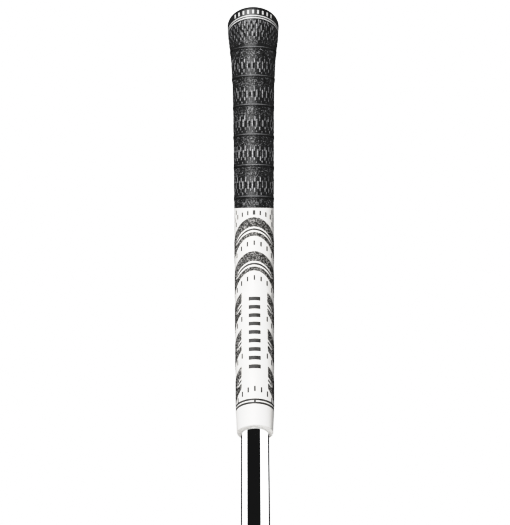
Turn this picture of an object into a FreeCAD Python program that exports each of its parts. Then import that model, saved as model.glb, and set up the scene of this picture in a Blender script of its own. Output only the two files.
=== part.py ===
"""Golf grip on the end of a stepped steel shaft.

The shaft's axis is Z and the origin is the middle of the grip's mouth, where the bare shaft
leaves it. The bare shaft runs down to -Z, the grip runs up to its butt cap, and -Y is the front.
"""

import FreeCAD, Part
import math
import os

import Sketcher

DIMENSIONS = [
    # alias, millimetres unless the note says otherwise, note
    ("stub_length", 60.0, "bare shaft below the mouth"),
    ("tip_diameter", 14.0, "shaft diameter at the mouth and below it"),
    ("butt_diameter", 15.24, "shaft diameter at its butt, the standard 0.600 in"),
    ("step_length", 45.0, "distance between shaft steps"),
    ("step_taper", 1.0, "height of the cone that makes a step"),
    ("tube_wall", 0.6, "wall of the steel tube"),
    ("butt_height", 264.0, "top end of the steel tube"),
    ("tape_thickness", 0.3, "double-sided grip tape"),
    ("tape_start", 4.0, "height where the tape begins"),
    ("tape_tuck", 10.0, "length of tape tucked into the butt of the tube"),
    ("mouth_radius", 9.05, "outer radius of the mouth"),
    ("mouth_round", 0.3, "rounding of the mouth's edge"),
    ("shoulder_radius", 9.6, "radius where the mouth's taper ends"),
    ("shoulder_height", 12.0, "height of that shoulder"),
    ("waist_radius", 10.82, "radius where the two rubber skins meet"),
    ("waist_height", 134.0, "height of that waist"),
    ("flare_radius", 11.63, "radius where the butt's flare begins"),
    ("flare_height", 200.0, "height of the flare's start"),
    ("bell_radius", 12.7, "radius half way up the flare"),
    ("bell_height", 235.0, "height half way up the flare"),
    ("lip_radius", 14.05, "radius where the flare turns upright again"),
    ("lip_height", 252.0, "height of that turn"),
    ("cap_radius", 15.2, "largest radius, on the butt cap"),
    ("cap_height", 267.0, "height of the largest radius"),
    ("crown_radius", 11.4, "radius where the cap's edge meets its crown"),
    ("crown_height", 271.4, "height of that meeting"),
    ("crown_top", 272.5, "top of the cap"),
    ("vent_diameter", 3.0, "vent hole through the cap"),
    ("collar_height", 260.2, "lower edge of the cap's collar"),
    ("skin_thickness", 1.3, "thickness of the outer rubber skins"),
    ("core_start", 8.0, "height where the inner sleeve begins"),
    ("boundary_side", 135.9, "height at the side line of the seam between the skins"),
    ("boundary_rise", -0.68, "slope of that seam, in height per depth"),
    ("groove_side", 142.5, "height at the side line of the lowest groove's upper edge"),
    ("groove_pitch", 21.1, "distance between grooves"),
    ("groove_rise", -0.6, "slope of the grooves"),
    ("groove_width", 0.9, "width of a groove"),
    ("groove_depth", 0.35, "depth of a groove"),
    ("wave_round", 4.0, "rounding where front and back waves meet"),
    ("inlay_depth", 0.5, "depth of every inlay in the white skin"),
    ("arch_side", 112.85, "height at the side line of the top arch's upper edge"),
    ("arch_pitch", 21.4, "distance between arches"),
    ("arch_rise", 0.915, "slope of an arch's upper edge"),
    ("arch_depth", 14.8, "height of an arch at the side line"),
    ("arch_low_rise", 1.2, "slope of an arch's lower edge"),
    ("loop_drop", 6.6, "from an arch's upper edge to its loop, at the side line"),
    ("loop_rise", 0.975, "slope of the loop's upper edge"),
    ("loop_depth", 3.0, "height of the loop, drawn on to the side line"),
    ("loop_low_rise", 0.93, "slope of the loop's lower edge"),
    ("loop_taper", 5.8, "depth where the loop begins to close"),
    ("loop_tip", 4.0, "depth of the loop's closed tip"),
    ("stripe_drop", 8.1, "from an arch's upper edge to its pinstripe, at the side line"),
    ("stripe_rise", 0.95, "slope of the pinstripe"),
    ("stripe_width", 1.2, "height of the pinstripe"),
    ("stripe_end", 5.0, "depth where the pinstripe ends"),
    ("panel_half_width", 6.6, "half width of the plain panel down the front"),
    ("dash_width", 0.85, "width of a dash"),
    ("dash_height", 3.0, "height of a dash"),
    ("dash_bold_width", 1.5, "width of the dash in the middle of the top row"),
    ("dash_drop", 16.25, "from an arch's upper edge to the dashes under it, at the front"),
    ("dash_rise", 0.9, "slope of a row of dashes"),
    ("fill_height", 125.6, "height of the level row of dashes under the seam"),
    ("fill_step", 3.95, "distance between the staggered rows beside it"),
    ("mark_width", 6.1, "width of a guide mark"),
    ("mark_height", 2.3, "height of a guide mark"),
    ("mark_pitch", 4.95, "distance between guide marks"),
    ("mark_low", 32.4, "height of the lowest guide mark"),
    ("mouth_line_low", 12.05, "height of the lower ring at the mouth"),
    ("mouth_line_high", 13.85, "height of the upper ring at the mouth"),
    ("mouth_line_width", 1.1, "height of each ring at the mouth"),
    ("mouth_dot_width", 0.9, "width of the dot that joins those rings at the front"),
    ("collar_line_low", 261.1, "height of the lower ring on the collar"),
    ("collar_line_high", 262.7, "height of the upper ring on the collar"),
    ("collar_line_width", 0.8, "height of each ring on the collar"),
    ("collar_mark_height", 265.5, "height of the collar marks' middle"),
    ("collar_mark_length", 2.8, "height of a collar mark"),
    ("collar_mark_width", 1.1, "width of a collar mark"),
    ("reach", 20.0, "half size of the construction pieces, wider than the grip"),
]

SHAFT_STEP_COUNT = 3
ARCH_COUNT = 5
FULL_ARCH_COUNT = 2
GROOVE_COUNT = 6
DASHES_AROUND = 18
FILL_DASHES_AROUND = 20
PANEL_CLEAR_ANGLE = 30.0
GUIDE_MARK_COUNT = 9
COLLAR_MARK_COUNT = 9
COLLAR_MARK_STEP = 11.0

doc = FreeCAD.newDocument("golf_grip")
dims = doc.addObject("Spreadsheet::Sheet", "dims")
for row, (alias, value, note) in enumerate(DIMENSIONS, start=1):
    dims.set(f"A{row}", alias.replace("_", " "))
    dims.set(f"B{row}", str(value))
    dims.set(f"C{row}", note)
    dims.setAlias(f"B{row}", alias)
doc.recompute()


def size(expression):
    """The number that a sheet expression stands for now."""
    return float(dims.evalExpression(expression))


# ---- outlines ------------------------------------------------------------------------------

class Corner:
    """A corner of an outline: its place, how the outline gets there and its rounding, if any."""

    def __init__(self, across, up, arrive="line", rounding=None):
        self.across = across
        self.up = up
        self.arrive = arrive
        self.rounding = rounding

    def point(self):
        return FreeCAD.Vector(size(self.across), size(self.up), 0)


def unit(vector):
    return vector * (1.0 / vector.Length)


def tangent_arc(start, heading, end):
    """An arc from start to end that sets off along heading, and its heading at the end."""
    chord = end - start
    normal = FreeCAD.Vector(-heading.y, heading.x, 0)
    signed_radius = chord.dot(chord) / (2.0 * chord.dot(normal))
    centre = start + normal * signed_radius
    middle = centre + unit((start + end) * 0.5 - centre) * abs(signed_radius)
    along = unit(chord)
    end_heading = along * (2.0 * heading.dot(along)) - heading
    return Part.Arc(start, middle, end), end_heading


def end_position(sketch, edge, point):
    """Which end of an edge, 1 or 2, lies at a point."""
    first = (sketch.getPoint(edge, 1) - point).Length
    last = (sketch.getPoint(edge, 2) - point).Length
    return 1 if first < last else 2


def pin_down(sketch, edge, position, corner, tag):
    """Tie one point of a sketch to a corner's two sheet expressions."""
    for axis, kind, text in ((-2, "DistanceX", corner.across), (-1, "DistanceY", corner.up)):
        if text == "0":
            sketch.addConstraint(Sketcher.Constraint("PointOnObject", edge, position, axis))
            continue
        index = sketch.addConstraint(Sketcher.Constraint(kind, edge, position, size(text)))
        name = f"{kind[-1].lower()}_{tag}"
        sketch.renameConstraint(index, name)
        sketch.setExpression(f"Constraints.{name}", text)


def draw_outline(sketch, corners, tag=""):
    """Draw one closed outline in a sketch, every corner bound to the sheet."""
    count = len(corners)
    points = [corner.point() for corner in corners]
    leaves = list(points)
    arrives = list(points)
    for index, corner in enumerate(corners):
        if corner.rounding is None:
            continue
        back = unit(points[index - 1] - points[index])
        ahead = unit(points[(index + 1) % count] - points[index])
        half_angle = back.getAngle(ahead) / 2.0
        trim = size(corner.rounding) / math.tan(half_angle)
        arrives[index] = points[index] + back * trim
        leaves[index] = points[index] + ahead * trim

    edges = []
    heading = unit(arrives[0] - leaves[-1])
    for index, corner in enumerate(corners):
        start = leaves[index - 1]
        end = arrives[index]
        if corner.arrive == "curve":
            shape, heading = tangent_arc(start, heading, end)
        else:
            shape = Part.LineSegment(start, end)
            heading = unit(end - start)
        edge = sketch.addGeometry(shape, False)
        edges.append((edge, end_position(sketch, edge, start), end_position(sketch, edge, end)))

    for index, corner in enumerate(corners):
        edge, _, finish = edges[index]
        following, begin, _ = edges[(index + 1) % count]
        name = f"{tag}{index}"
        if corner.rounding is not None:
            round_corner(sketch, corner, (edge, finish), (following, begin), name)
            continue
        smooth = corners[(index + 1) % count].arrive == "curve"
        joint = "Tangent" if smooth else "Coincident"
        sketch.addConstraint(Sketcher.Constraint(joint, edge, finish, following, begin))
        pin_down(sketch, edge, finish, corner, name)


def round_corner(sketch, corner, incoming, outgoing, name):
    """Join two straight edges by an arc, with their meeting point kept at the corner."""
    place = corner.point()
    start = sketch.getPoint(*incoming)
    end = sketch.getPoint(*outgoing)
    arc_radius = size(corner.rounding)
    inward = unit((start + end) * 0.5 - place)
    half_angle = unit(start - place).getAngle(inward)
    centre = place + inward * (arc_radius / math.sin(half_angle))
    middle = centre - inward * arc_radius
    arc = sketch.addGeometry(Part.Arc(start, middle, end), False)
    corner_point = sketch.addGeometry(Part.Point(place), True)
    arc_start = end_position(sketch, arc, start)
    arc_end = end_position(sketch, arc, end)
    sketch.addConstraint(Sketcher.Constraint("Tangent", *incoming, arc, arc_start))
    sketch.addConstraint(Sketcher.Constraint("Tangent", arc, arc_end, *outgoing))
    sketch.addConstraint(Sketcher.Constraint("PointOnObject", corner_point, 1, incoming[0]))
    sketch.addConstraint(Sketcher.Constraint("PointOnObject", corner_point, 1, outgoing[0]))
    pin_down(sketch, corner_point, 1, corner, name)
    index = sketch.addConstraint(Sketcher.Constraint("Radius", arc, arc_radius))
    sketch.renameConstraint(index, f"round_{name}")
    sketch.setExpression(f"Constraints.round_{name}", corner.rounding)


# ---- building blocks -----------------------------------------------------------------------

def origin_plane(body, role):
    return next(item for item in body.Origin.OriginFeatures if item.Role == role)


def turned_body(name, corners):
    """A solid of revolution about Z: across is the radius, up is the height."""
    body = doc.addObject("PartDesign::Body", name)
    sketch = body.newObject("Sketcher::SketchObject", f"{name}_outline")
    sketch.AttachmentSupport = (origin_plane(body, "XZ_Plane"), [""])
    sketch.MapMode = "FlatFace"
    draw_outline(sketch, corners)
    turn = body.newObject("PartDesign::Revolution", f"{name}_turn")
    turn.Profile = sketch
    turn.ReferenceAxis = (sketch, ["V_Axis"])
    turn.Angle = 360
    body.Tip = turn
    return body


def side_slab(name, outlines):
    """A slab right across the grip: across is the depth from front to back, up is the height."""
    sketch = doc.addObject("Sketcher::SketchObject", f"{name}_outline")
    sketch.Placement.Rotation = FreeCAD.Rotation(FreeCAD.Vector(1, 1, 1), 120)
    for number, corners in enumerate(outlines):
        draw_outline(sketch, corners, tag=f"{number}_")
    slab = doc.addObject("Part::Extrusion", name)
    slab.Base = sketch
    slab.DirMode = "Normal"
    slab.Solid = True
    slab.setExpression("LengthFwd", "dims.reach")
    slab.setExpression("LengthRev", "dims.reach")
    return slab


def level_slab(name, low, high):
    """A round slab between two heights."""
    slab = doc.addObject("Part::Cylinder", name)
    slab.setExpression("Radius", "dims.reach")
    slab.setExpression("Height", f"({high}) - ({low})")
    slab.setExpression("Placement.Base.z", low)
    return slab


def common(name, base, tool):
    result = doc.addObject("Part::Common", name)
    result.Base = base
    result.Tool = tool
    return result


def cut(name, base, tool):
    result = doc.addObject("Part::Cut", name)
    result.Base = base
    result.Tool = tool
    return result


def group(name, members):
    result = doc.addObject("Part::Compound", name)
    result.Links = members
    return result


def wave_height(side, rise, depth="dims.reach"):
    """Height of a wave at a depth from the side line, as an expression."""
    return f"{side} + ({rise}) * {depth}"


def wave_band(name, low_side, low_rise, high_side, high_rise):
    """A slab between two waves that run from the front to the side line and on to the back."""
    far = "dims.reach"
    near = "-dims.reach"
    low_end = wave_height(low_side, low_rise)
    high_end = wave_height(high_side, high_rise)
    return side_slab(name, [[
        Corner(near, low_end),
        Corner("0", low_side, rounding="dims.wave_round"),
        Corner(far, low_end),
        Corner(far, high_end),
        Corner("0", high_side, rounding="dims.wave_round"),
        Corner(near, high_end),
    ]])


# ---- the grip's outer form and its layers --------------------------------------------------

def grip_side(inset):
    """The grip's side from the shoulder up to the crown, moved inwards by an inset."""
    return [
        Corner(f"dims.shoulder_radius - {inset}", "dims.shoulder_height"),
        Corner(f"dims.waist_radius - {inset}", "dims.waist_height"),
        Corner(f"dims.flare_radius - {inset}", "dims.flare_height"),
        Corner(f"dims.bell_radius - {inset}", "dims.bell_height", arrive="curve"),
        Corner(f"dims.lip_radius - {inset}", "dims.lip_height", arrive="curve"),
        Corner(f"dims.cap_radius - {inset}", "dims.cap_height", arrive="curve"),
    ]


def outer_form():
    mouth = [
        Corner("0", "0"),
        Corner("dims.mouth_radius - dims.mouth_round", "0"),
        Corner("dims.mouth_radius", "dims.mouth_round", arrive="curve"),
    ]
    crown = [
        Corner("dims.crown_radius", "dims.crown_height", arrive="curve"),
        Corner("0", "dims.crown_top", arrive="curve"),
    ]
    return turned_body("outer_form", mouth + grip_side("0") + crown)


def inset_form(name, inset):
    """The outer form less an inset, from the inner sleeve's start up to the cap."""
    start_radius = (
        f"dims.mouth_radius - {inset} + (dims.shoulder_radius - dims.mouth_radius)"
        " * dims.core_start / dims.shoulder_height"
    )
    low = [Corner("0", "dims.core_start"), Corner(start_radius, "dims.core_start")]
    high = [Corner("0", "dims.cap_height")]
    return turned_body(name, low + grip_side(inset) + high)


def shaft_radius(step):
    """Outer radius of the shaft above a step; step 0 is its bare end."""
    growth = f"(dims.butt_diameter - dims.tip_diameter) * {step} / {SHAFT_STEP_COUNT}"
    return f"(dims.tip_diameter + {growth}) / 2"


def shaft_steps(offset):
    """The shaft's stepped side above the mouth: radii moved outwards by an offset."""
    corners = []
    for step in range(SHAFT_STEP_COUNT):
        low = f"dims.step_length * {step}" if step else "0"
        corners.append(Corner(f"{shaft_radius(step)} + {offset}", low))
        corners.append(Corner(f"{shaft_radius(step + 1)} + {offset}", f"{low} + dims.step_taper"))
    return corners


BUTT_RADIUS = "dims.butt_diameter / 2"


def shaft_tube():
    """Chromed steel tube: its butt fills the grip and its bare end stands out of the mouth."""
    outer = [Corner("dims.tip_diameter / 2", "-dims.stub_length")]
    outer += shaft_steps("0")
    outer += [Corner(BUTT_RADIUS, "dims.butt_height")]
    inner = [Corner(f"{BUTT_RADIUS} - dims.tube_wall", "dims.butt_height")]
    inner += reversed(shaft_steps("(-dims.tube_wall)"))
    inner += [Corner("dims.tip_diameter / 2 - dims.tube_wall", "-dims.stub_length")]
    return turned_body("shaft_tube", outer + inner)


def grip_tape():
    """Tape from just inside the mouth up the tube, over its end and down into its bore."""
    first_radius = shaft_radius(1)
    bore = f"{BUTT_RADIUS} - dims.tube_wall"
    steps_out = shaft_steps("dims.tape_thickness")[2:]
    steps_in = shaft_steps("0")[2:]
    corners = [Corner(f"{first_radius} + dims.tape_thickness", "dims.tape_start")]
    corners += steps_out
    corners += [
        Corner(f"{BUTT_RADIUS} + dims.tape_thickness", "dims.butt_height + dims.tape_thickness"),
        Corner(f"{bore} - dims.tape_thickness", "dims.butt_height + dims.tape_thickness"),
        Corner(f"{bore} - dims.tape_thickness", "dims.butt_height - dims.tape_tuck"),
        Corner(bore, "dims.butt_height - dims.tape_tuck"),
        Corner(bore, "dims.butt_height"),
        Corner(BUTT_RADIUS, "dims.butt_height"),
    ]
    corners += reversed(steps_in)
    corners += [Corner(first_radius, "dims.tape_start")]
    return turned_body("grip_tape", corners)


def bore_form():
    """The space that the shaft and its tape fill inside the grip."""
    taped = "dims.tape_thickness"
    steps = shaft_steps(taped)
    first_radius = shaft_radius(1)
    corners = [
        Corner("0", "-dims.step_taper"),
        Corner("dims.tip_diameter / 2", "-dims.step_taper"),
        Corner("dims.tip_diameter / 2", "0"),
        Corner(first_radius, "dims.step_taper"),
        Corner(first_radius, "dims.tape_start"),
        Corner(f"{first_radius} + {taped}", "dims.tape_start"),
    ]
    corners += steps[2:]
    corners += [
        Corner(f"{BUTT_RADIUS} + {taped}", f"dims.butt_height + {taped}"),
        Corner("0", f"dims.butt_height + {taped}"),
    ]
    return turned_body("bore_form", corners)


outer = outer_form()
core = inset_form("core_form", "dims.skin_thickness")
inlay_core = inset_form("inlay_core", "dims.inlay_depth")
bore = bore_form()
cap_zone = level_slab("cap_zone", "dims.collar_height", "dims.crown_top + dims.reach")
collar_zone = level_slab("collar_zone", "dims.collar_height", "dims.cap_height")
core_below_cap = cut("core_below_cap", core, cap_zone)
inlay_shell = cut("inlay_shell", outer, inlay_core)

shaft_tube()
grip_tape()
cut("inner_sleeve", core_below_cap, bore)


# ---- inlays of the white skin --------------------------------------------------------------

def arch_edge(number):
    """Height at the side line of an arch's upper edge, counted from the top."""
    return f"dims.arch_side - dims.arch_pitch * {number - 1}"


def mirrored(corners):
    """The same outline on the other side of the side line."""
    swapped = []
    for corner in reversed(corners):
        swapped.append(Corner(f"-({corner.across})", corner.up))
    return swapped


def loop_slab(number):
    """The two white loops of an arch, front and back, each closing to a tip near the side."""
    high = f"{arch_edge(number)} - dims.loop_drop"
    low = f"{high} - dims.loop_depth"
    tip = f"{low} + dims.loop_depth / 2 + dims.loop_rise * dims.loop_tip"
    back = [
        Corner("dims.reach", wave_height(low, "dims.loop_low_rise")),
        Corner("dims.reach", wave_height(high, "dims.loop_rise")),
        Corner("dims.loop_taper", wave_height(high, "dims.loop_rise", "dims.loop_taper")),
        Corner("dims.loop_tip", tip),
        Corner("dims.loop_taper", wave_height(low, "dims.loop_low_rise", "dims.loop_taper")),
    ]
    return side_slab(f"loop_slab_{number}", [back, mirrored(back)])


def stripe_slab(number):
    """The two runs of an arch's pinstripe, front and back."""
    high = f"{arch_edge(number)} - dims.stripe_drop + dims.stripe_width / 2"
    low = f"{high} - dims.stripe_width"
    back = [
        Corner("dims.stripe_end", wave_height(low, "dims.stripe_rise", "dims.stripe_end")),
        Corner("dims.reach", wave_height(low, "dims.stripe_rise")),
        Corner("dims.reach", wave_height(high, "dims.stripe_rise")),
        Corner("dims.stripe_end", wave_height(high, "dims.stripe_rise", "dims.stripe_end")),
    ]
    return side_slab(f"stripe_slab_{number}", [back, mirrored(back)])


def front_panel():
    """The plain panel down the front, which the lower arches stop at."""
    panel = doc.addObject("Part::Box", "front_panel")
    panel.setExpression("Length", "2 * dims.panel_half_width")
    panel.setExpression("Width", "dims.reach")
    panel.setExpression("Height", "dims.waist_height")
    panel.setExpression("Placement.Base.x", "-dims.panel_half_width")
    panel.setExpression("Placement.Base.y", "-dims.reach")
    return panel


def arch_inlays(number, panel):
    """One arch and its pinstripe, cut at the panel where the arch is one of the lower ones."""
    edge = arch_edge(number)
    low_side = f"{edge} - dims.arch_depth"
    slab = wave_band(f"arch_slab_{number}", low_side, "dims.arch_low_rise", edge, "dims.arch_rise")
    band = common(f"arch_whole_{number}", inlay_shell, slab)
    stripe_name = f"pinstripe_{number}"
    if number <= FULL_ARCH_COUNT:
        band = cut(f"arch_band_{number}", band, loop_slab(number))
        return band, common(stripe_name, inlay_shell, stripe_slab(number))
    open_band = cut(f"arch_open_{number}", band, loop_slab(number))
    stripe = common(f"stripe_whole_{number}", inlay_shell, stripe_slab(number))
    return cut(f"arch_band_{number}", open_band, panel), cut(stripe_name, stripe, panel)


def skin_radius(height):
    """Radius of the white skin at a height above the shoulder."""
    slope = (size("dims.waist_radius") - size("dims.shoulder_radius")) / (
        size("dims.waist_height") - size("dims.shoulder_height")
    )
    return size("dims.shoulder_radius") + slope * (height - size("dims.shoulder_height"))


def standing_bar(name, angle, height, width, length):
    """An upright bar through the skin at an angle from the front, its middle at a height."""
    bar = doc.addObject("Part::Box", name)
    bar.setExpression("Length", width)
    bar.setExpression("Width", "4 * dims.inlay_depth")
    bar.setExpression("Height", length)
    radius = skin_radius(height) + size("dims.inlay_depth")
    turn = FreeCAD.Rotation(FreeCAD.Vector(0, 0, 1), angle)
    corner = FreeCAD.Vector(-size(width) / 2, -radius, height - size(length) / 2)
    bar.Placement = FreeCAD.Placement(turn.multVec(corner), turn)
    return bar


def wave_drop(rise, angle, radius):
    """How far a wave has dropped from its front height at an angle round the grip."""
    depth = abs(math.cos(math.radians(angle))) * radius
    return rise * (radius - depth)


def dash_row(number):
    """The dashes under an arch, missing where the plain panel runs through the row."""
    side = size(arch_edge(number))
    radius = skin_radius(side)
    front = side + size("dims.arch_rise") * radius - size("dims.dash_drop")
    through_panel = FULL_ARCH_COUNT < number < ARCH_COUNT
    bars = []
    for step in range(DASHES_AROUND):
        angle = (step * 360.0 / DASHES_AROUND + 180.0) % 360.0 - 180.0
        if through_panel and abs(angle) < PANEL_CLEAR_ANGLE:
            continue
        height = front - wave_drop(size("dims.dash_rise"), angle, radius)
        name = f"dash_{number}_{step}"
        bars.append(standing_bar(name, angle, height, "dims.dash_width", "dims.dash_height"))
    return common(f"dash_row_{number}", group(f"dash_bars_{number}", bars), inlay_shell)


def top_dashes():
    """Staggered dashes that fill the space between the top arch and the seam of the skins."""
    radius = size("dims.waist_radius")
    margin = size("dims.dash_height") / 2 + size("dims.dash_width") / 2
    seam = size("dims.boundary_side") + size("dims.boundary_rise") * radius
    arch = size("dims.arch_side") + size("dims.arch_rise") * radius
    bars = []
    for level in range(-3, 3):
        height = size("dims.fill_height") + level * size("dims.fill_step")
        for step in range(FILL_DASHES_AROUND):
            angle = (step + 0.5 * (level % 2)) * 360.0 / FILL_DASHES_AROUND
            top = seam - wave_drop(size("dims.boundary_rise"), angle, radius) - margin
            bottom = arch - wave_drop(size("dims.arch_rise"), angle, radius) + margin
            if not bottom < height < top:
                continue
            bold = level == 0 and step % (FILL_DASHES_AROUND // 2) == 0
            width = "dims.dash_bold_width" if bold else "dims.dash_width"
            name = f"fill_{level + 3}_{step}"
            bars.append(standing_bar(name, angle, height, width, "dims.dash_height"))
    return common("dash_row_0", group("fill_bars", bars), inlay_shell)


def guide_marks():
    """A column of short bars down the plain panel and a dot between the mouth's two rings."""
    bars = []
    for step in range(GUIDE_MARK_COUNT):
        height = size("dims.mark_low") + step * size("dims.mark_pitch")
        name = f"guide_bar_{step}"
        bars.append(standing_bar(name, 0.0, height, "dims.mark_width", "dims.mark_height"))
    middle = size("(dims.mouth_line_low + dims.mouth_line_high) / 2")
    gap = "dims.mouth_line_high - dims.mouth_line_low - dims.mouth_line_width"
    bars.append(standing_bar("mouth_dot", 0.0, middle, "dims.mouth_dot_width", gap))
    return common("guide_marks", group("guide_bars", bars), inlay_shell)


def level_ring(name, shell, height, width):
    """A ring inlaid round the grip at a height."""
    slab = level_slab(f"{name}_slab", f"{height} - {width} / 2", f"{height} + {width} / 2")
    return common(name, shell, slab)


panel = front_panel()
inlays = []
for arch_number in range(1, ARCH_COUNT + 1):
    inlays += arch_inlays(arch_number, panel)
    inlays.append(dash_row(arch_number))
inlays.append(top_dashes())
inlays.append(guide_marks())
for ring_name, ring_height in (("mouth_line_lower", "dims.mouth_line_low"),
                               ("mouth_line_upper", "dims.mouth_line_high")):
    inlays.append(level_ring(ring_name, inlay_shell, ring_height, "dims.mouth_line_width"))


# ---- the two rubber skins ------------------------------------------------------------------

def below_seam():
    """Everything below the wave-shaped seam between the two skins."""
    end = wave_height("dims.boundary_side", "dims.boundary_rise")
    return side_slab("below_seam", [[
        Corner("-dims.reach", "-dims.reach"),
        Corner("dims.reach", "-dims.reach"),
        Corner("dims.reach", end),
        Corner("0", "dims.boundary_side", rounding="dims.wave_round"),
        Corner("-dims.reach", end),
    ]])


def groove_tools():
    """Wave-shaped slabs that stop at the bottom of the grooves."""
    slabs = []
    for step in range(GROOVE_COUNT):
        high = f"dims.groove_side + dims.groove_pitch * {step}"
        low = f"{high} - dims.groove_width"
        rise = "dims.groove_rise"
        slabs.append(wave_band(f"groove_slab_{step + 1}", low, rise, high, rise))
    floor = inset_form("groove_floor", "dims.groove_depth")
    return cut("groove_tools", group("groove_slabs", slabs), floor)


skins = cut("skins", cut("skin_solid", cut("below_collar", outer, cap_zone), core_below_cap), bore)
seam_zone = below_seam()
white_blank = common("white_blank", skins, seam_zone)
black_blank = cut("black_blank", skins, seam_zone)
cut("lower_sleeve", white_blank, group("all_inlays", inlays))
cut("cord_sleeve", black_blank, groove_tools())


# ---- the butt cap --------------------------------------------------------------------------

def collar_shell():
    """The outer layer of the cap's collar, as deep as an inlay."""
    collar = common("collar", outer, collar_zone)
    return cut("collar_shell", collar, inlay_core)


def collar_marks(shell):
    """Short upright marks round the front of the collar."""
    bars = []
    for step in range(COLLAR_MARK_COUNT):
        angle = (step - (COLLAR_MARK_COUNT - 1) / 2) * COLLAR_MARK_STEP
        bar = doc.addObject("Part::Box", f"collar_bar_{step}")
        bar.setExpression("Length", "dims.collar_mark_width")
        bar.setExpression("Width", "dims.reach / 2")
        bar.setExpression("Height", "dims.collar_mark_length")
        turn = FreeCAD.Rotation(FreeCAD.Vector(0, 0, 1), angle)
        corner = FreeCAD.Vector(
            -size("dims.collar_mark_width") / 2,
            -size("dims.reach"),
            size("dims.collar_mark_height") - size("dims.collar_mark_length") / 2,
        )
        bar.Placement = FreeCAD.Placement(turn.multVec(corner), turn)
        bars.append(bar)
    return common("collar_marks", group("collar_bars", bars), shell)


def vent():
    hole = doc.addObject("Part::Cylinder", "vent")
    hole.setExpression("Radius", "dims.vent_diameter / 2")
    hole.setExpression("Height", "dims.reach * 2")
    hole.setExpression("Placement.Base.z", "dims.butt_height")
    return hole


shell = collar_shell()
cap_inlays = [collar_marks(shell)]
for ring_name, ring_height in (("collar_line_lower", "dims.collar_line_low"),
                               ("collar_line_upper", "dims.collar_line_high")):
    cap_inlays.append(level_ring(ring_name, shell, ring_height, "dims.collar_line_width"))
cap_solid = cut("cap_solid", common("cap_blank", outer, cap_zone), bore)
vented_cap = cut("vented_cap", cap_solid, vent())
cut("end_cap", vented_cap, group("cap_inlays", cap_inlays))


# ---- check and write -----------------------------------------------------------------------

def subpart_names():
    names = ["shaft_tube", "grip_tape", "inner_sleeve", "cord_sleeve", "lower_sleeve", "end_cap"]
    for number in range(1, ARCH_COUNT + 1):
        names += [f"arch_band_{number}", f"pinstripe_{number}"]
    names += [f"dash_row_{number}" for number in range(ARCH_COUNT + 1)]
    names += ["guide_marks", "mouth_line_lower", "mouth_line_upper"]
    names += ["collar_line_lower", "collar_line_upper", "collar_marks"]
    return names


def check_document():
    for item in doc.Objects:
        if "Invalid" in item.State or "Error" in item.State:
            raise RuntimeError(f"{item.Name} failed: {item.State}")
    for name in subpart_names():
        shape = doc.getObject(name).Shape
        if shape.isNull() or not shape.isValid() or not shape.Solids:
            raise RuntimeError(f"{name} has no valid solid")


def write_subparts():
    os.makedirs("parts", exist_ok=True)
    for name in subpart_names():
        subpart = doc.getObject(name)
        subpart.Label = name
        subpart.Shape.exportStep(f"parts/{name}.step")
        print(f"{name}: {len(subpart.Shape.Solids)} solids, {subpart.Shape.Volume:.2f} mm3")


doc.recompute()
check_document()
write_subparts()
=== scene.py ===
"""A golf grip on the bare end of its shaft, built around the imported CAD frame.

Lengths are metres in the frame's own axes: +Z runs up the shaft to the butt cap, -Y is the front,
and the middle of the grip's mouth is at the origin. An angle round the grip is 0 at the front.
"""

import math
from typing import NamedTuple

import bpy
import numpy as np
from mathutils import Matrix, Vector
from mathutils.bvhtree import BVHTree


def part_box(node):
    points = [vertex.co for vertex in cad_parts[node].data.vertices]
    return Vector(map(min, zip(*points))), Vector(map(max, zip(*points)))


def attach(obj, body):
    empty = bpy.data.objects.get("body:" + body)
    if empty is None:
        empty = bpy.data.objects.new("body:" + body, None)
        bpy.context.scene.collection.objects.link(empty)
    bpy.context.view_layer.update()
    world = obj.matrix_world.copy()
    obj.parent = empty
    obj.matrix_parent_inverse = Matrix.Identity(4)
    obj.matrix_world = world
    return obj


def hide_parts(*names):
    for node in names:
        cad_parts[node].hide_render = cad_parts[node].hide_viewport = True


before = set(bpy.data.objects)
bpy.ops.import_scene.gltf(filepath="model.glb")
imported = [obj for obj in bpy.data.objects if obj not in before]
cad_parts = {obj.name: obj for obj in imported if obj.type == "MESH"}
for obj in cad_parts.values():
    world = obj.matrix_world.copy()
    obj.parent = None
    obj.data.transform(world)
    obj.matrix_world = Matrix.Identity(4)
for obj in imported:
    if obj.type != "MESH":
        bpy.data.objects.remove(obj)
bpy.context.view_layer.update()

MM = 0.001
TURN = 2 * math.pi
BODY = "root"

GRIP_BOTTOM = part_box("lower_sleeve")[0].z
SEAM_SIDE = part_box("lower_sleeve")[1].z
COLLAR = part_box("end_cap")[0].z
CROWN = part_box("end_cap")[1].z
SHAFT_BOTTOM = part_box("shaft_tube")[0].z
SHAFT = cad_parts["shaft_tube"]


# ---------------------------------------------------------------- the CAD's own surface


# The outside is measured by rays shot inwards from a circle of points round the grip.
PROBE_REACH = 40 * MM
PROBE_DIRECTIONS = 24
PROFILE_STEPS = 320
MOUTH_CLEARANCE = 0.05 * MM
CROWN_CLEARANCE = 1.2 * MM


def surface_trees(*nodes):
    """Search trees of the CAD nodes, for finding their surfaces."""
    graph = bpy.context.evaluated_depsgraph_get()
    return [BVHTree.FromObject(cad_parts[node], graph) for node in nodes]


def outermost(trees, height):
    """The largest radius that the surfaces reach at a height."""
    best = 0.0
    for number in range(PROBE_DIRECTIONS):
        angle = TURN * number / PROBE_DIRECTIONS
        outward = Vector((math.sin(angle), -math.cos(angle), 0))
        start = outward * PROBE_REACH + Vector((0, 0, height))
        for tree in trees:
            hit = tree.ray_cast(start, -outward, PROBE_REACH)[0]
            if hit is not None:
                best = max(best, math.hypot(hit.x, hit.y))
    return best


def skin_profile(trees, low, high):
    """Heights up the grip, and the radius of its outside at each."""
    heights = np.linspace(low, high, PROFILE_STEPS)
    return heights, np.array([outermost(trees, height) for height in heights])


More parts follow.
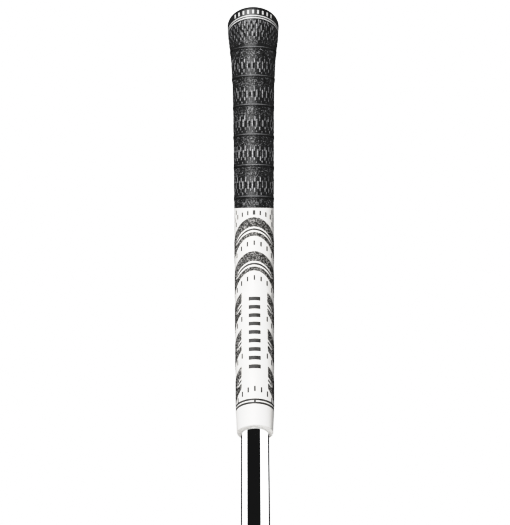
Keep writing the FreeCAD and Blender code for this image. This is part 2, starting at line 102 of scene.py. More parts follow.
PROFILE = skin_profile(
    surface_trees("lower_sleeve", "cord_sleeve", "end_cap"),
    GRIP_BOTTOM + MOUTH_CLEARANCE,
    CROWN - CROWN_CLEARANCE,
)


def skin_radius(height):
    """Radius of the grip's outside at a height."""
    return np.interp(height, *PROFILE)


# ---------------------------------------------------------------- helpers


def add_to_scene(name, data):
    """A new object in the scene."""
    thing = bpy.data.objects.new(name, data)
    bpy.context.scene.collection.objects.link(thing)
    return thing


def ring_angles(count):
    """Evenly spaced angles round the grip."""
    return np.arange(count) * TURN / count


def ring_points(radii, heights, angles):
    """Points from arrays of radius, height and angle of the same shape."""
    points = np.stack([radii * np.sin(angles), -radii * np.cos(angles), heights], -1)
    return points.reshape(-1, 3).tolist()


def ring_faces(rows, columns):
    """Quads between rings of points, with the last ring joined to the first."""
    lower = np.arange(rows * columns).reshape(rows, columns)
    upper = np.roll(lower, -1, 0)
    quads = np.stack([lower, np.roll(lower, -1, 1), np.roll(upper, -1, 1), upper], -1)
    return quads.reshape(-1, 4).tolist()


def store_tones(mesh, tones):
    """Saves one number for each point, which the cord materials read as light and shade."""
    attribute = mesh.attributes.new("tone", "FLOAT", "POINT")
    attribute.data.foreach_set("value", np.asarray(tones, np.float32).ravel())


def dress(piece, material, replaced):
    """Gives a piece its material and its body, and hides the CAD node that it stands for."""
    piece.data.materials.clear()
    piece.data.materials.append(material)
    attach(piece, BODY)
    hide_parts(replaced)


# ---------------------------------------------------------------- relief patterns


# A lattice's columns are counted on a circle of this radius.
TYPICAL_RADIUS = 11 * MM


def eased(share):
    """A share from 0 to 1, eased in and out."""
    return share * share * (3 - 2 * share)


def window(value, start, end, ramp):
    """1 between start and end, falling to 0 over the ramp outside them."""
    rise = np.clip((value - start) / ramp + 1, 0, 1)
    fall = np.clip((end - value) / ramp + 1, 0, 1)
    return eased(rise * fall)


def lattice(angle, height, size, random):
    """Smooth random numbers from 0 to 1 over the skin, with grains of the given size."""
    columns = int(TURN * TYPICAL_RADIUS / size)
    bottom = height.min()
    rows = int((height.max() - bottom) / size) + 3
    values = random.random((rows, columns))
    across = np.mod(angle / TURN, 1) * columns
    along = (height - bottom) / size
    left = np.floor(across).astype(int)
    low = np.floor(along).astype(int)
    x = eased(across - left)
    y = eased(along - low)
    left = left % columns
    right = (left + 1) % columns
    lower = values[low, left] * (1 - x) + values[low, right] * x
    upper = values[low + 1, left] * (1 - x) + values[low + 1, right] * x
    return lower * (1 - y) + upper * y


class MarkRing(NamedTuple):
    """A ring of upright marks; top and bottom are distances down from the band's upper edge."""

    count: int
    shift: float
    top: float
    bottom: float
    width: float


# How much the marks of a ring differ: sideways in spacings, in strength, and in length.
MARK_SLIDE = 0.13
FAINTEST_MARK = 0.65
MARK_END_SHIFT = 0.4 * MM
MARK_END_RAMP = 0.5 * MM


def upright_marks(angle, drop, radius, ring, random):
    """A ring of upright marks, each a rounded bar that is 1 along its middle."""
    place = angle / TURN * ring.count - ring.shift
    nearest = np.round(place)
    mark = nearest.astype(int) % ring.count
    slide = random.uniform(-MARK_SLIDE, MARK_SLIDE, ring.count)
    strength = random.uniform(FAINTEST_MARK, 1, ring.count)
    ends = random.uniform(-MARK_END_SHIFT, MARK_END_SHIFT, (2, ring.count))
    sideways = (place - nearest - slide[mark]) * TURN / ring.count * radius
    across = np.clip(1 - (sideways / (ring.width / 2)) ** 2, 0, 1)
    top = ring.top + ends[0][mark]
    bottom = ring.bottom + ends[1][mark]
    return across * window(drop, top, bottom, MARK_END_RAMP) * strength[mark]


def strongest_marks(rings, angle, drop, radius, random):
    """The strongest of several rings of upright marks at each point."""
    marks = np.zeros_like(drop)
    for ring in rings:
        marks = np.maximum(marks, upright_marks(angle, drop, radius, ring, random))
    return marks


PEBBLE_ROW = 0.6 * MM
PEBBLES_AROUND = 114
DEEPEST_PEBBLE = -0.8


def pebbles(angle, drop, random):
    """Small bumps and hollows in staggered rows, 1 at the highest bump."""
    row = np.floor(drop / PEBBLE_ROW).astype(int)
    place = angle / TURN * PEBBLES_AROUND + 0.5 * (row % 2)
    nearest = np.round(place)
    strength = random.uniform(DEEPEST_PEBBLE, 1, (row.max() + 1, PEBBLES_AROUND))
    across = 1 - (2 * (place - nearest)) ** 2
    along = 1 - (2 * (drop / PEBBLE_ROW - row) - 1) ** 2
    return strength[row, nearest.astype(int) % PEBBLES_AROUND] * across * along


# ---------------------------------------------------------------- the cord's pattern


# Marks in a ring of the weave, in the bands and in the one under the cap.
WEAVE = 25
TOP_WEAVE = 30

BAND_STREAKS = (
    MarkRing(WEAVE, 0.25, 7.4 * MM, 10.4 * MM, 0.75 * MM),
    MarkRing(WEAVE, 0.75, 9.8 * MM, 14.6 * MM, 0.95 * MM),
    MarkRing(WEAVE, 0.25, 14.7 * MM, 16.7 * MM, 0.75 * MM),
    MarkRing(WEAVE, 0.6, 17.6 * MM, 18.4 * MM, 0.6 * MM),
)
BAND_PITS = (MarkRing(WEAVE, 0.25, 11.2 * MM, 13.8 * MM, 1.05 * MM),)

TOP_STREAKS = (
    MarkRing(TOP_WEAVE * 2, 0.0, 0.5 * MM, 2.0 * MM, 0.55 * MM),
    MarkRing(TOP_WEAVE, 0.25, 1.0 * MM, 4.4 * MM, 0.65 * MM),
    MarkRing(TOP_WEAVE, 0.75, 3.2 * MM, 7.2 * MM, 0.65 * MM),
    MarkRing(TOP_WEAVE, 0.25, 6.2 * MM, 9.6 * MM, 0.65 * MM),
    MarkRing(TOP_WEAVE, 0.75, 8.6 * MM, 12.0 * MM, 0.8 * MM),
    MarkRing(TOP_WEAVE, 0.25, 11.9 * MM, 13.9 * MM, 0.65 * MM),
)
TOP_PITS = (
    MarkRing(TOP_WEAVE, 0.75, 1.5 * MM, 2.9 * MM, 0.8 * MM),
    MarkRing(TOP_WEAVE, 0.25, 4.4 * MM, 6.2 * MM, 0.9 * MM),
    MarkRing(TOP_WEAVE, 0.75, 7.2 * MM, 8.3 * MM, 0.8 * MM),
    MarkRing(TOP_WEAVE, 0.25, 9.4 * MM, 11.6 * MM, 1.0 * MM),
)

# Heights and depths of the relief.
STREAK_HEIGHT = 0.2 * MM
PIT_DEPTH = 0.35 * MM
PEBBLE_HEIGHT = 0.16 * MM
LIP_HEIGHT = 0.16 * MM
GROOVE_DEPTH = 0.35 * MM
SINK = 0.1 * MM

# Lightness of plain cord, and what each part of the pattern adds to it or takes from it.
CORD_PLAIN = 0.27
# Streaks are lighter for pale cord and for a painted highlight on their raised tops.
STREAK_TONE = 0.62
# Pits are darker with painted shade.
PIT_SHADE = 0.6
PEBBLE_TONE = 0.7
GRAIN_TONE = 0.3
# Grooves are darkened with painted shade, more at the sides.
CHANNEL_SHADE = 0.4
# The lip above a groove is a painted highlight, painted lighter still at the front and back.
LIP_HIGHLIGHT = 0.25
LIP_FRONT_HIGHLIGHT = 0.5

CORD_GRAIN = 0.35 * MM
BAND_MARGIN = 0.7 * MM
BAND_RAMP = 0.6 * MM

# The strip above a groove and the woven zone have fainter pebbles.
STRIP_TOP = 3.6 * MM
STRIP_RAMP = 0.8 * MM
STRIP_PEBBLE = 0.25
WEAVE_RAMP = 0.4 * MM
WEAVE_CALM = 0.8

GROOVE_WIDTH = 0.9 * MM
FACING_SHALLOWNESS = 0.75
LIP_RISE = 1.1 * MM
LIP_SPREAD = 0.35 * MM


class Band(NamedTuple):
    """The pattern of one corded band."""

    streaks: tuple
    pits: tuple
    groove_above: bool
    groove_below: bool


def pebble_strength(drop, span, band):
    """How much of the pebbles shows at each distance down a band."""
    strength = np.ones_like(drop)
    if band.groove_below:
        open_zone = window(drop, 0, span - STRIP_TOP, STRIP_RAMP)
        strength *= STRIP_PEBBLE + (1 - STRIP_PEBBLE) * open_zone
    if band.streaks:
        first, last = band.streaks[0], band.streaks[-1]
        strength *= 1 - WEAVE_CALM * window(drop, first.top, last.bottom, WEAVE_RAMP)
    return strength


def groove_channel(distance, facing):
    """How deep each point lies in the half channel along a band's edge."""
    slope = np.clip(1 - distance / (GROOVE_WIDTH / 2), 0, 1)
    return slope * (1 - FACING_SHALLOWNESS * facing)


def cord_relief(angle, height, drop, span, radius, band, random):
    """How far the corded rubber stands proud at each point, and how light it is there.

    Grooves are shallow at the front and back and deepest at the sides, and painted shade in them is
    darkest at the sides; the lip above each one has a painted highlight, lightest at front and
    back.
    """
    raised = strongest_marks(band.streaks, angle, drop, radius, random)
    sunken = strongest_marks(band.pits, angle, drop, radius, random)
    grain = lattice(angle, height, CORD_GRAIN, random) - 0.5
    pebble = pebbles(angle, drop, random) * pebble_strength(drop, span, band)
    relief = raised * STREAK_HEIGHT - sunken * PIT_DEPTH + pebble * PEBBLE_HEIGHT
    relief = relief * window(drop, BAND_MARGIN, span - BAND_MARGIN, BAND_RAMP) - SINK
    # Painted light in the tone: streaks lighter with pale cord and a painted highlight, pits darker
    # with painted shade.
    tone = CORD_PLAIN + raised * STREAK_TONE - sunken * PIT_SHADE
    tone = tone + pebble * PEBBLE_TONE + grain * GRAIN_TONE
    facing = np.abs(np.cos(angle))
    # Painted shade in the groove channels, darkest at the sides.
    if band.groove_above:
        channel = groove_channel(drop, facing)
        relief = relief - channel * GROOVE_DEPTH
        tone = tone - channel * CHANNEL_SHADE
    if band.groove_below:
        rise = span - drop
        channel = groove_channel(rise, facing)
        lip = np.exp(-(((rise - LIP_RISE) / LIP_SPREAD) ** 2))
        relief = relief * (1 - lip) + lip * LIP_HEIGHT - channel * GROOVE_DEPTH
        # The lip's painted highlight, lightest at the front and back.
        tone = tone * (1 - lip) + lip * (LIP_HIGHLIGHT + LIP_FRONT_HIGHLIGHT * facing)
        tone = tone - channel * CHANNEL_SHADE
    return relief, np.clip(tone, 0, 1)


# ---------------------------------------------------------------- corded upper half


# The wavy seam and the wavy grooves above it.
SEAM_RISE = -0.68
GROOVE_RISE = -0.6
GROOVE_COUNT = 6
GROOVE_PITCH = 21.1 * MM
FIRST_GROOVE = SEAM_SIDE + 6.6 * MM
WAVE_ROUND = 2.1 * MM
WAVE_PASSES = 3
SKIN = 1.3 * MM
CORD_SEED = 11

# A band's rings of points are closer together near its grooves.
UPPER_ZONE = 1.5 * MM
UPPER_STEP = 0.15 * MM
MIDDLE_STEP = 0.2 * MM
LOWER_ZONE = 1.8 * MM
LOWER_STEP = 0.12 * MM
BAND_COLUMNS = 384

# A band's inner face needs only two rings of points: under its top ring and its bottom ring.
INNER_RINGS = [-1, 0]
HIDDEN_TONE = 0.2


class Wave(NamedTuple):
    """A wavy line: its height on the side line, and its rise per metre of depth from there.

    Both are numbers, or arrays that stand for a set of lines.
    """

    side: float | np.ndarray
    rise: float | np.ndarray


def wave_heights(wave, angles):
    """Heights of a wavy line round the grip, rounded where it crosses the side lines.

    The depth depends on the skin's radius at the height being sought, so it takes a few passes.
    """
    heights = np.broadcast_arrays(wave.side, wave.rise, angles)[0]
    for _ in range(WAVE_PASSES):
        depth = np.abs(skin_radius(heights) * np.cos(angles))
        rounded = depth**2 / (2 * WAVE_ROUND) + WAVE_ROUND / 2
        heights = wave.side + wave.rise * np.where(depth > WAVE_ROUND, depth, rounded)
    return heights


def band_drops(span):
    """Distances down a band at which it has rings of points."""
    upper = np.arange(0, UPPER_ZONE, UPPER_STEP)
    middle = np.arange(UPPER_ZONE, span - LOWER_ZONE, MIDDLE_STEP)
    lower = np.arange(span - LOWER_ZONE, span, LOWER_STEP)
    return np.concatenate([upper, middle, lower, [span]])


def cord_band(name, low, high, band, material, random):
    """One band of the corded sleeve, from the wavy line low up to the wavy line high."""
    front = np.zeros(1)
    span = float((wave_heights(high, front) - wave_heights(low, front))[0])
    drops = band_drops(span)[::-1]
    share = (1 - drops / span)[:, None]
    angles, drop = np.meshgrid(ring_angles(BAND_COLUMNS), drops)
    side = low.side + (high.side - low.side) * share
    rise = low.rise + (high.rise - low.rise) * share
    heights = wave_heights(Wave(side, rise), angles)
    radii = skin_radius(heights)
    relief, tone = cord_relief(angles, heights, drop, span, radii, band, random)
    points = ring_points(
        np.concatenate([radii + relief, radii[INNER_RINGS] - SKIN]),
        np.concatenate([heights, heights[INNER_RINGS]]),
        np.concatenate([angles, angles[INNER_RINGS]]),
    )
    inner_tone = np.full((len(INNER_RINGS), BAND_COLUMNS), HIDDEN_TONE)
    rows = len(drops) + len(INNER_RINGS)
    mesh = bpy.data.meshes.new(name)
    mesh.from_pydata(points, [], ring_faces(rows, BAND_COLUMNS))
    mesh.validate()
    mesh.shade_smooth()
    store_tones(mesh, np.concatenate([tone, inner_tone]))
    piece = add_to_scene(name, mesh)
    dress(piece, material, "cord_sleeve")


def band_pattern(number):
    """The pattern of a band, counted up from the seam; the lowest band is plain."""
    streaks, pits = BAND_STREAKS, BAND_PITS
    if number == 0:
        streaks, pits = (), ()
    if number == GROOVE_COUNT:
        streaks, pits = TOP_STREAKS, TOP_PITS
    return Band(streaks, pits, number < GROOVE_COUNT, number > 0)


def cord_sleeve(material):
    """The black upper half: bands of streaked cord between wavy grooves."""
    random = np.random.default_rng(CORD_SEED)
    waves = [Wave(SEAM_SIDE, SEAM_RISE)]
    for number in range(GROOVE_COUNT):
        waves.append(Wave(FIRST_GROOVE + number * GROOVE_PITCH, GROOVE_RISE))
    waves.append(Wave(COLLAR, 0.0))
    for number, (low, high) in enumerate(zip(waves, waves[1:])):
        name = f"cord_band_{number + 1}"
        cord_band(name, low, high, band_pattern(number), material, random)


# ---------------------------------------------------------------- arches


ARCH_SEED = 5
ARCH_MESH_SIZE = 0.145 * MM
ARCH_GROWTH = 0.07 * MM
ARCH_GRAIN = 0.36 * MM
ARCH_PEBBLE_SHARE = 0.6
ARCH_GRAIN_SHARE = 0.4
ARCH_RELIEF = 0.16 * MM
ARCH_PROUD = 0.02 * MM
ARCH_FADE = 0.2 * MM
ARCH_PLAIN = 0.42
ARCH_CONTRAST = 1.25


def fine_copy(node, name):
    """A copy of a CAD node with the same outline and an even, fine mesh."""
    piece = add_to_scene(name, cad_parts[node].data.copy())
    remesh = piece.modifiers.new("fine", "REMESH")
    remesh.mode = "VOXEL"
    remesh.voxel_size = ARCH_MESH_SIZE
    graph = bpy.context.evaluated_depsgraph_get()
    mesh = bpy.data.meshes.new_from_object(piece.evaluated_get(graph))
    mesh.name = name
    piece.modifiers.clear()
    piece.data = mesh
    return piece


def read_points(values, attribute, count):
    """Rows of x, y and z read from a mesh's points or normals."""
    numbers = np.empty(count * 3)
    values.foreach_get(attribute, numbers)
    return numbers.reshape(-1, 3)


def arch_band(node, material, random):
    """A corded arch inside the CAD's own outline, with its relief on the outer face."""
    piece = fine_copy(node, f"corded_{node}")
    mesh = piece.data
    count = len(mesh.vertices)
    points = read_points(mesh.vertices, "co", count)
    points = points + read_points(mesh.vertex_normals, "vector", count) * ARCH_GROWTH
    radius = np.hypot(points[:, 0], points[:, 1])
    angle = np.arctan2(points[:, 0], -points[:, 1])
    outer = np.clip(1 - (skin_radius(points[:, 2]) - radius) / ARCH_FADE, 0, 1)
    lift = points[:, 2] - points[:, 2].min()
    grain = lattice(angle, lift, ARCH_GRAIN, random) - 0.5
    mottle = pebbles(angle, lift, random) * ARCH_PEBBLE_SHARE + grain * ARCH_GRAIN_SHARE
    swell = 1 + outer * (mottle * ARCH_RELIEF + ARCH_PROUD) / radius
    points[:, :2] *= swell[:, None]
    mesh.vertices.foreach_set("co", points.ravel())
    mesh.shade_smooth()
    store_tones(mesh, np.clip(ARCH_PLAIN + mottle * ARCH_CONTRAST, 0, 1))
    dress(piece, material, node)


# ---------------------------------------------------------------- materials


def feed(tree, socket, value):
    """Gives an input socket a value, or joins another node's output to it."""
    if isinstance(value, bpy.types.NodeSocket):
        tree.links.new(value, socket)
    else:
        socket.default_value = value


def with_alpha(colour):
    """An opaque colour, from a colour or a grey."""
    return (*colour, 1) if isinstance(colour, tuple) else (colour,) * 3 + (1,)


class Material:
    """A Principled material whose colour, roughness and bump are made with nodes."""

    def __init__(self, name, **constants):
        self.material = bpy.data.materials.new(name)
        self.material.use_nodes = True
        self.tree = self.material.node_tree
        self.shader = self.tree.nodes["Principled BSDF"]
        for socket, value in constants.items():
            self.shader.inputs[socket.replace("_", " ")].default_value = value
        self.place = self.node("ShaderNodeTexCoord").outputs["Object"]

    def node(self, kind, **inputs):
        """A node whose inputs are values or other nodes' outputs."""
        made = self.tree.nodes.new(kind)
        for socket, value in inputs.items():
            feed(self.tree, made.inputs[socket.replace("_", " ")], value)
        return made

    def stretched(self, across, along):
        """The object's coordinates, scaled across the grip and along it."""
        scale = (across, across, along)
        made = self.node("ShaderNodeMapping", Vector=self.place, Scale=scale)
        return made.outputs["Vector"]

    def noise(self, scale, detail, roughness=0.5, where=None):
        """Cloudy noise from 0 to 1."""
        made = self.node(
            "ShaderNodeTexNoise",
            Vector=where or self.place,
            Scale=scale,
            Detail=detail,
            Roughness=roughness,
        )
        return made.outputs["Fac"]

    def fibres(self, detail, roughness, across, along):
        """Noise drawn out into fibres."""
        return self.noise(1.0, detail, roughness, self.stretched(across, along))

    def tone(self):
        """The light and shade saved on the mesh."""
        made = self.node("ShaderNodeAttribute")
        made.attribute_name = "tone"
        return made.outputs["Fac"]

    def ramp(self, factor, *stops):
        """A colour ramp; each stop is a position and a colour or a grey."""
        made = self.node("ShaderNodeValToRGB", Fac=factor)
        points = made.color_ramp.elements
        while len(points) < len(stops):
            points.new(0.5)
        for point, (position, colour) in zip(points, stops):
            point.position = position
            point.color = with_alpha(colour)
        return made.outputs["Color"]

    def span(self, factor, low, high, start=0.0, end=1.0):
        """Maps a factor from start-end to low-high."""
        made = self.node(
            "ShaderNodeMapRange",
            Value=factor,
            From_Min=start,
            From_Max=end,
            To_Min=low,
            To_Max=high,
        )
        return made.outputs["Result"]

    def sum(self, first, second):
        """Two factors added together."""
        made = self.node("ShaderNodeMath")
        made.operation = "ADD"
        feed(self.tree, made.inputs[0], first)
        feed(self.tree, made.inputs[1], second)
        return made.outputs[0]

    def mix(self, factor, first, second):
        """Goes from the first colour to the second as the factor goes from 0 to 1."""
        made = self.node("ShaderNodeMix")
        made.data_type = "RGBA"
        feed(self.tree, made.inputs["Factor"], factor)
        colour_inputs = [socket for socket in made.inputs if socket.type == "RGBA"]
        feed(self.tree, colour_inputs[0], first)
        feed(self.tree, colour_inputs[1], with_alpha(second))
        return next(socket for socket in made.outputs if socket.type == "RGBA")

    def finish(self, colour, roughness, height, distance, strength=0.5):
        """Joins colour, roughness and bump height to the shader."""
        feed(self.tree, self.shader.inputs["Base Color"], colour)
        feed(self.tree, self.shader.inputs["Roughness"], roughness)
        bump = self.node(
            "ShaderNodeBump", Height=height, Strength=strength, Distance=distance
        )
        feed(self.tree, self.shader.inputs["Normal"], bump.outputs["Normal"])
        return self.material


def white_rubber():
    """Satin white moulded rubber, with faint clouding and a fine grain."""
    made = Material("white_rubber", Specular_IOR_Level=0.35)
    dull_white = (0.80, 0.785, 0.765)
    clean_white = (0.85, 0.84, 0.82)
    speckle = (0.62, 0.61, 0.59)
    cloud = made.noise(scale=90, detail=3)
    grain = made.noise(scale=1500, detail=2)
    colour = made.ramp(cloud, (0.3, dull_white), (0.7, clean_white))
    colour = made.mix(made.span(grain, 0, 0.1, start=0.55, end=0.75), colour, speckle)
    roughness = made.span(made.noise(scale=500, detail=2), 0.42, 0.6)
    return made.finish(colour, roughness, grain, distance=0.05 * MM, strength=0.25)


def cord_rubber():
    """Matt black rubber with pale cord showing through the raised streaks, and painted light and
    shade.
    """
    made = Material("cord_rubber", Specular_IOR_Level=0.65)
    painted_shade_black = 0.001
    rubber = (0.009, 0.009, 0.0095)
    rubbed_cord = (0.12, 0.12, 0.123)
    bare_cord = (0.5, 0.5, 0.51)
    dust = (0.2, 0.2, 0.21)
    fibre = made.fibres(detail=3, roughness=0.6, across=2600, along=700)
    speck = made.noise(scale=2300, detail=2, roughness=0.6)
    tone_and_fibre = made.sum(made.tone(), made.span(fibre, -0.14, 0.14))
    # The darkest stop shows the painted shade in pits and grooves; the lighter stops also show the
    # painted highlights on streaks and lips.
    colour = made.ramp(
        tone_and_fibre, (0.0, painted_shade_black), (0.3, rubber), (0.6, rubbed_cord), (0.9, bare_cord)
    )
    colour = made.mix(made.span(speck, 0, 0.5, start=0.64, end=0.74), colour, dust)
    roughness = made.span(tone_and_fibre, 0.6, 0.46, start=0.0, end=0.6)
    return made.finish(colour, roughness, fibre, distance=0.12 * MM)


def arch_rubber():
    """Dark grey corded rubber, full of short light fibres."""
    made = Material("arch_rubber", Specular_IOR_Level=0.3)
    rubber = (0.02, 0.02, 0.02)
    dark_cord = (0.09, 0.088, 0.085)
    rubbed_cord = (0.2, 0.195, 0.19)
    bare_cord = (0.5, 0.49, 0.48)
    fibre = made.fibres(detail=3, roughness=0.7, across=2300, along=1500)
    tone_and_fibre = made.sum(made.tone(), made.span(fibre, -0.3, 0.3))
    colour = made.ramp(
        tone_and_fibre, (0.1, rubber), (0.42, dark_cord), (0.62, rubbed_cord), (0.85, bare_cord)
    )
    roughness = made.span(made.noise(scale=800, detail=2), 0.6, 0.85)
    return made.finish(colour, roughness, fibre, distance=0.12 * MM)


def cap_rubber():
    """Smooth satin black rubber, a little dusty, with a fine moulded grain."""
    made = Material("cap_rubber", Specular_IOR_Level=0.75)
    clean = 0.012
    dusty = (0.03, 0.03, 0.032)
    grain = made.noise(scale=1400, detail=3)
    dust = made.noise(scale=160, detail=4)
    colour = made.ramp(dust, (0.35, clean), (0.75, dusty))
    roughness = made.span(dust, 0.42, 0.58)
    return made.finish(colour, roughness, grain, distance=0.04 * MM, strength=0.3)


def inner_rubber():
    """Plain dark rubber under the skins, with a coarse moulded grain."""
    made = Material("inner_rubber", Specular_IOR_Level=0.3)
    grain = made.noise(scale=700, detail=3)
    colour = made.ramp(grain, (0.3, 0.012), (0.7, 0.03))
    return made.finish(colour, made.span(grain, 0.6, 0.8), grain, distance=0.08 * MM)


def ink(name, dark, light):
    """Paint in a shallow recess, thin in places, with a fine grain."""
    made = Material(name, Specular_IOR_Level=0.3)
    cover = made.noise(scale=700, detail=3, roughness=0.6)
    grain = made.noise(scale=2200, detail=2)
    colour = made.ramp(cover, (0.32, dark), (0.66, light))
    roughness = made.span(cover, 0.45, 0.65)
    return made.finish(colour, roughness, grain, distance=0.04 * MM, strength=0.35)


def shaft_chrome():
    """Polished chrome plate with fine lengthwise polishing marks."""
    made = Material("shaft_chrome", Metallic=1.0)
    smeared = (0.86, 0.865, 0.87)
    bright = (0.93, 0.935, 0.94)
    lines = made.fibres(detail=3, roughness=0.6, across=3200, along=60)
    smear = made.noise(scale=60, detail=3)
    colour = made.ramp(smear, (0.3, smeared), (0.7, bright))
    polish = made.span(lines, 0.02, 0.06)
    roughness = made.sum(polish, made.span(smear, 0.0, 0.03, start=0.4, end=0.7))
    return made.finish(colour, roughness, lines, distance=0.003 * MM, strength=0.1)


def tape_paper():
    """Crepe paper tape: fine ridges across the wrap."""
    made = Material("tape_paper", Specular_IOR_Level=0.2)
    shaded_valley = (0.5, 0.42, 0.27)
    ridge = (0.66, 0.58, 0.4)
    ridges = made.fibres(detail=3, roughness=0.6, across=300, along=2500)
    # The valleys between the ridges are painted darker: painted shade in the creases.
    colour = made.ramp(ridges, (0.3, shaded_valley), (0.7, ridge))
    return made.finish(colour, made.span(ridges, 0.7, 0.9), ridges, distance=0.1 * MM)


def floor_paint():
    """Pale studio floor with a faint mottle."""
    made = Material("floor_paint", Specular_IOR_Level=0.1)
    mottle = made.noise(scale=6, detail=4)
    colour = made.ramp(mottle, (0.3, 0.8), (0.7, 0.84))
    roughness = made.span(mottle, 0.8, 0.95)
    return made.finish(colour, roughness, mottle, distance=1 * MM, strength=0.05)


def panel_cloth():
    """Glowing white cloth of a softbox, with a faint weave."""
    made = Material("panel_cloth", Specular_IOR_Level=0.0, Emission_Strength=1.0)
    weave = made.noise(scale=200, detail=2)
    glow = made.ramp(weave, (0.3, 0.97), (0.7, 1.0))
    feed(made.tree, made.shader.inputs["Emission Color"], glow)
    colour = made.ramp(weave, (0.3, 0.7), (0.7, 0.8))
    return made.finish(colour, 0.9, weave, distance=1 * MM)


# ---------------------------------------------------------------- studio


# The camera's place in metres, its angles, and its lens in millimetres.
CAMERA_SIDE = 0.38 * MM
CAMERA_BACK = 0.658
CAMERA_DROP = 0.326
CAMERA_PITCH = math.radians(32.96)
CAMERA_ROLL = math.radians(-0.29)
CAMERA_LENS = 101.14
NEAREST_SEEN = 0.05
FARTHEST_SEEN = 50


def make_camera():
    """Looks up at the grip from in front of and below the shaft's end."""
    data = bpy.data.cameras.new("camera")
    data.lens = CAMERA_LENS
    data.clip_start = NEAREST_SEEN
    data.clip_end = FARTHEST_SEEN
    camera = add_to_scene("camera", data)
    upright = Matrix.Rotation(math.pi / 2 + CAMERA_PITCH, 4, "X")
    turn = upright @ Matrix.Rotation(CAMERA_ROLL, 4, "Z")
    place = Matrix.Translation((CAMERA_SIDE, -CAMERA_BACK, -CAMERA_DROP))
    camera.matrix_world = place @ turn
    bpy.context.scene.camera = camera


FLOOR_DROP = 0.55
FLOOR_REACH = 12


def make_floor():
    """A wide pale floor well below the shaft."""
    depth = SHAFT_BOTTOM - FLOOR_DROP
    signs = ((-1, -1), (1, -1), (1, 1), (-1, 1))
    corners = [(x * FLOOR_REACH, y * FLOOR_REACH, depth) for x, y in signs]
    mesh = bpy.data.meshes.new("floor")
    mesh.from_pydata(corners, [], [(0, 1, 2, 3)])
    mesh.materials.append(floor_paint())
    floor = add_to_scene("floor", mesh)
    floor.visible_diffuse = False
    floor.visible_glossy = False
    return floor


def aim(light, azimuth, elevation, distance):
    """Puts a light round the grip, facing its middle; azimuth 0 is the front."""
    middle = Vector((0, 0, (GRIP_BOTTOM + CROWN) / 2))
    turn, lift = math.radians(azimuth), math.radians(elevation)
    across = math.cos(lift)
    way = Vector((math.sin(turn) * across, -math.cos(turn) * across, math.sin(lift)))
    light.location = middle + way * distance
    light.rotation_mode = "QUATERNION"
    light.rotation_quaternion = way.to_track_quat("Z", "Y")


def lit_by(name, piece, state):
    """A light's list that keeps its light on one piece alone, or off it."""
    receivers = bpy.data.collections.new(f"lit_by_{name}")
    receivers.objects.link(piece)
    receivers.collection_objects[0].light_linking.link_state = state
    return receivers


def softbox(name, azimuth, elevation, distance, size, power):
    """A square soft light on the rubber, which leaves the shaft to its own panels."""
    data = bpy.data.lights.new(name, "AREA")
    data.shape = "SQUARE"
    data.size = size
    data.energy = power
    light = add_to_scene(name, data)
    aim(light, azimuth, elevation, distance)
    light.visible_camera = False
    light.light_linking.receiver_collection = lit_by(name, SHAFT, "EXCLUDE")


PANEL_DISTANCE = 1.6
PANEL_LOW = -1.2
PANEL_HIGH = 1.8
PANEL_COLUMNS = 9


def chrome_panel(name, azimuth, half_width):
    """A curved white panel round the grip that only the shaft's chrome sees."""
    ends = (azimuth - half_width, azimuth + half_width)
    turns = np.radians(np.linspace(*ends, PANEL_COLUMNS))
    points = [
        (PANEL_DISTANCE * math.sin(turn), -PANEL_DISTANCE * math.cos(turn), level)
        for level in (PANEL_LOW, PANEL_HIGH)
        for turn in turns
    ]
    faces = [
        (n, n + 1, PANEL_COLUMNS + n + 1, PANEL_COLUMNS + n)
        for n in range(PANEL_COLUMNS - 1)
    ]
    mesh = bpy.data.meshes.new(name)
    mesh.from_pydata(points, [], faces)
    mesh.materials.append(panel_cloth())
    panel = add_to_scene(name, mesh)
    panel.visible_camera = False
    panel.visible_diffuse = False
    panel.visible_shadow = False
    panel.light_linking.receiver_collection = lit_by(name, SHAFT, "INCLUDE")


SUN_POWER = 2.2
SUN_SPREAD = math.radians(15)


def overhead_light(floor):
    """A sun that lights the floor and leaves the grip to the softboxes."""
    data = bpy.data.lights.new("overhead", "SUN")
    data.energy = SUN_POWER
    data.angle = SUN_SPREAD
    light = add_to_scene("overhead", data)
    light.light_linking.receiver_collection = lit_by("overhead", floor, "INCLUDE")


# Brightness of the white surroundings: seen directly, in reflections, and as light on the rubber.
BACKDROP = 1.0
REFLECTED = 0.02
AMBIENT = 0.22


def ray_choice(tree, is_such_ray, level, otherwise):
    """One level for one kind of ray, and another for all the rest."""
    mix = tree.nodes.new("ShaderNodeMix")
    feed(tree, mix.inputs["Factor"], is_such_ray)
    feed(tree, mix.inputs["A"], otherwise)
    feed(tree, mix.inputs["B"], level)
    return mix.outputs["Result"]


def make_world():
    """White surroundings that look brighter than the light they give."""
    world = bpy.data.worlds.new("studio")
    bpy.context.scene.world = world
    world.use_nodes = True
    tree = world.node_tree
    ray = tree.nodes.new("ShaderNodeLightPath").outputs
    level = ray_choice(tree, ray["Is Glossy Ray"], REFLECTED, AMBIENT)
    level = ray_choice(tree, ray["Is Camera Ray"], BACKDROP, level)
    background = tree.nodes["Background"]
    feed(tree, background.inputs["Strength"], level)
    feed(tree, background.inputs["Color"], with_alpha(1.0))


# The picture's tone curve, as light and how bright it is shown: deeper shadows and soft highlights.
TONE_CURVE = (
    (0.03, 0.014),
    (0.05, 0.025),
    (0.107, 0.107),
    (0.3, 0.44),
    (0.5, 0.8),
    (0.8, 0.94),
)
COMBINED = 3


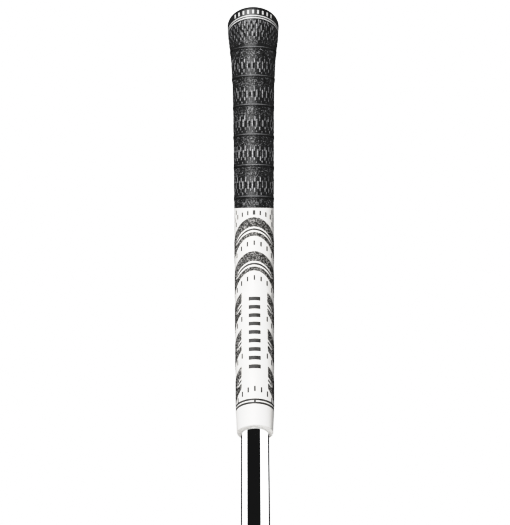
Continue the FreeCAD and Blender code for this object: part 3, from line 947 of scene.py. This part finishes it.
def set_tones():
    """Applies the tone curve to the picture's combined channel."""
    settings = bpy.context.scene.view_settings
    settings.view_transform = "Standard"
    settings.use_curve_mapping = True
    curve = settings.curve_mapping.curves[COMBINED]
    for light, shown in TONE_CURVE:
        curve.points.new(light, shown)
    settings.curve_mapping.update()


def make_studio():
    """The camera, the surroundings, the floor and every light; angles are in degrees."""
    make_camera()
    make_world()
    set_tones()
    overhead_light(make_floor())
    softbox("key_low", azimuth=-12, elevation=-28, distance=1.0, size=0.4, power=2.5)
    softbox("key_high", azimuth=-15, elevation=33, distance=2.0, size=0.8, power=28)
    softbox("under_light", azimuth=0, elevation=-78, distance=0.6, size=0.3, power=0.6)
    softbox("back_light", azimuth=180, elevation=10, distance=1.6, size=0.8, power=11)
    chrome_panel("left_panel", azimuth=-97.8, half_width=29.8)
    chrome_panel("right_panel", azimuth=84.2, half_width=42.2)


# ---------------------------------------------------------------- the whole grip


def repaint(prefixes, material):
    """Gives the CAD nodes whose names start with a prefix a material."""
    for name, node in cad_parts.items():
        if name.startswith(prefixes):
            node.data.materials.clear()
            node.data.materials.append(material)


def paint_fills():
    """Dark and white paint for the marks and rings."""
    dark_ink = ink("dark_ink", (0.05, 0.049, 0.048), (0.09, 0.088, 0.086))
    white_ink = ink("white_ink", (0.5, 0.5, 0.495), (0.64, 0.64, 0.635))
    repaint(("pinstripe", "dash_row", "guide_marks", "mouth_line"), dark_ink)
    repaint(("collar_line", "collar_marks"), white_ink)


def arches(material):
    """All the corded arches, in the order of their names."""
    random = np.random.default_rng(ARCH_SEED)
    for name in sorted(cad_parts):
        if name.startswith("arch_band"):
            arch_band(name, material, random)


def build_grip():
    """Dresses every CAD node, and adds the corded bands and arches."""
    cord_sleeve(cord_rubber())
    repaint(("lower_sleeve",), white_rubber())
    repaint(("end_cap",), cap_rubber())
    repaint(("shaft_tube",), shaft_chrome())
    repaint(("grip_tape",), tape_paper())
    repaint(("inner_sleeve",), inner_rubber())
    paint_fills()
    arches(arch_rubber())


make_studio()
build_grip()
